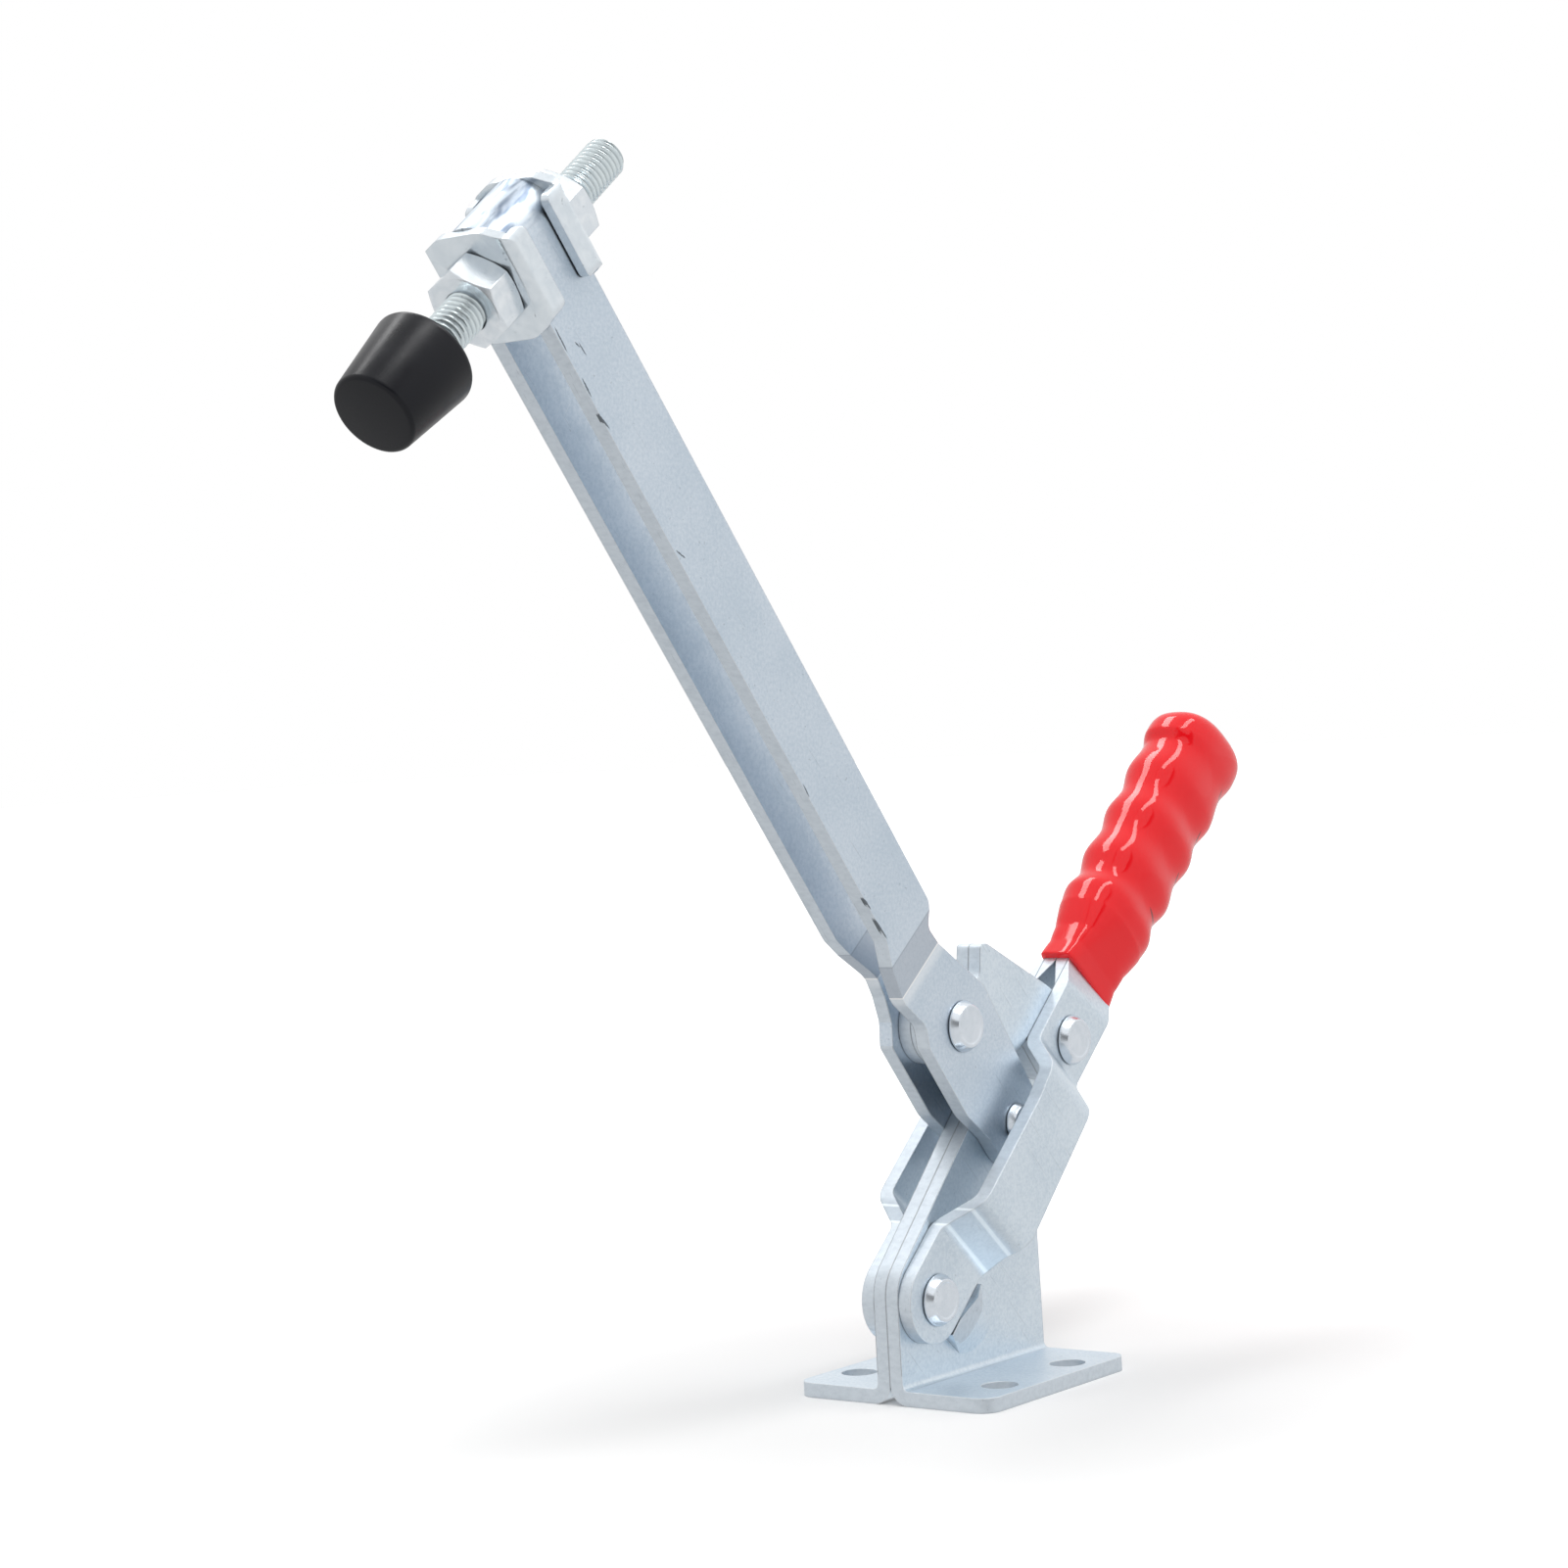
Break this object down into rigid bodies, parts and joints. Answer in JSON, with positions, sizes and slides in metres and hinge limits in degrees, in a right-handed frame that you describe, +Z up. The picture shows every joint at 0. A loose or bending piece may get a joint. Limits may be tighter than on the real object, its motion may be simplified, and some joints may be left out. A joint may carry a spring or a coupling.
{
  "type": "toggle clamp",
  "caption": "Vertical-handle toggle clamp with riveted sheet-metal linkage, flanged base, long slotted arm, rubber-tipped threaded spindle and dipped grip, shown open.",
  "frame": {"origin": "middle of the four bolt holes, on the underside of the base flanges", "axes": "+Z up out of the base, +X toward the handle, -X toward the clamping side, Y across the clamp"},
  "size_m": [0.2711, 0.0476, 0.2438],
  "materials": {
    "zinc_sheet": "bright zinc-plated pressed steel sheet with pale cut edges",
    "zinc_fastener": "bright zinc-plated turned steel",
    "grip_vinyl": "glossy red dipped vinyl",
    "cap_rubber": "smooth black rubber with a soft sheen"
  },
  "bodies": {
    "base": {"bracket_near": "zinc_sheet", "bracket_far": "zinc_sheet", "rivet_base_handle": "zinc_fastener", "rivet_base_arm": "zinc_fastener"},
    "handle": {"handle_plate_near": "zinc_sheet", "handle_plate_far": "zinc_sheet", "grip": "grip_vinyl", "rivet_handle_link": "zinc_fastener"},
    "link": {"link_plate_near": "zinc_sheet", "link_plate_far": "zinc_sheet"},
    "arm": {"clamping_arm": "zinc_sheet", "rivet_arm_link": "zinc_fastener"},
    "carriage": {"washer_upper": "zinc_fastener", "washer_lower": "zinc_fastener", "nut_upper": "zinc_fastener", "nut_lower": "zinc_fastener"},
    "spindle": {"spindle": "zinc_fastener", "rubber_cap": "cap_rubber"}
  },
  "joints": [
    {"name": "handle_swing", "type": "hinge", "parent": "base", "child": "handle", "pos_m": [-0.0156, 0, 0.0198], "axis": [0, -1, 0], "range_deg": [0, 43.17]},
    {"name": "link_swing", "type": "hinge", "parent": "handle", "child": "link", "pos_m": [0.0368, 0, 0.066], "axis": [0, -1, 0], "range_deg": [0, 51.73]},
    {"name": "arm_swing", "type": "hinge", "parent": "base", "child": "arm", "pos_m": [0.0148, 0, 0.0514], "axis": [0, -1, 0], "range_deg": [0, 55.19]},
    {"name": "spindle_slide", "type": "slide", "parent": "arm", "child": "carriage", "axis": [0.6088, 0, -0.7934], "range_m": [-0.0032, 0.1415]},
    {"name": "spindle_height", "type": "slide", "parent": "carriage", "child": "spindle", "axis": [-0.7934, 0, -0.6088], "range_m": [-0.013, 0.016]}
  ],
  "couplings": [
    {"joint": "link_swing", "follows": "handle_swing", "ratio": 1.1935},
    {"joint": "arm_swing", "follows": "handle_swing", "ratio": 1.2738}
  ]
}
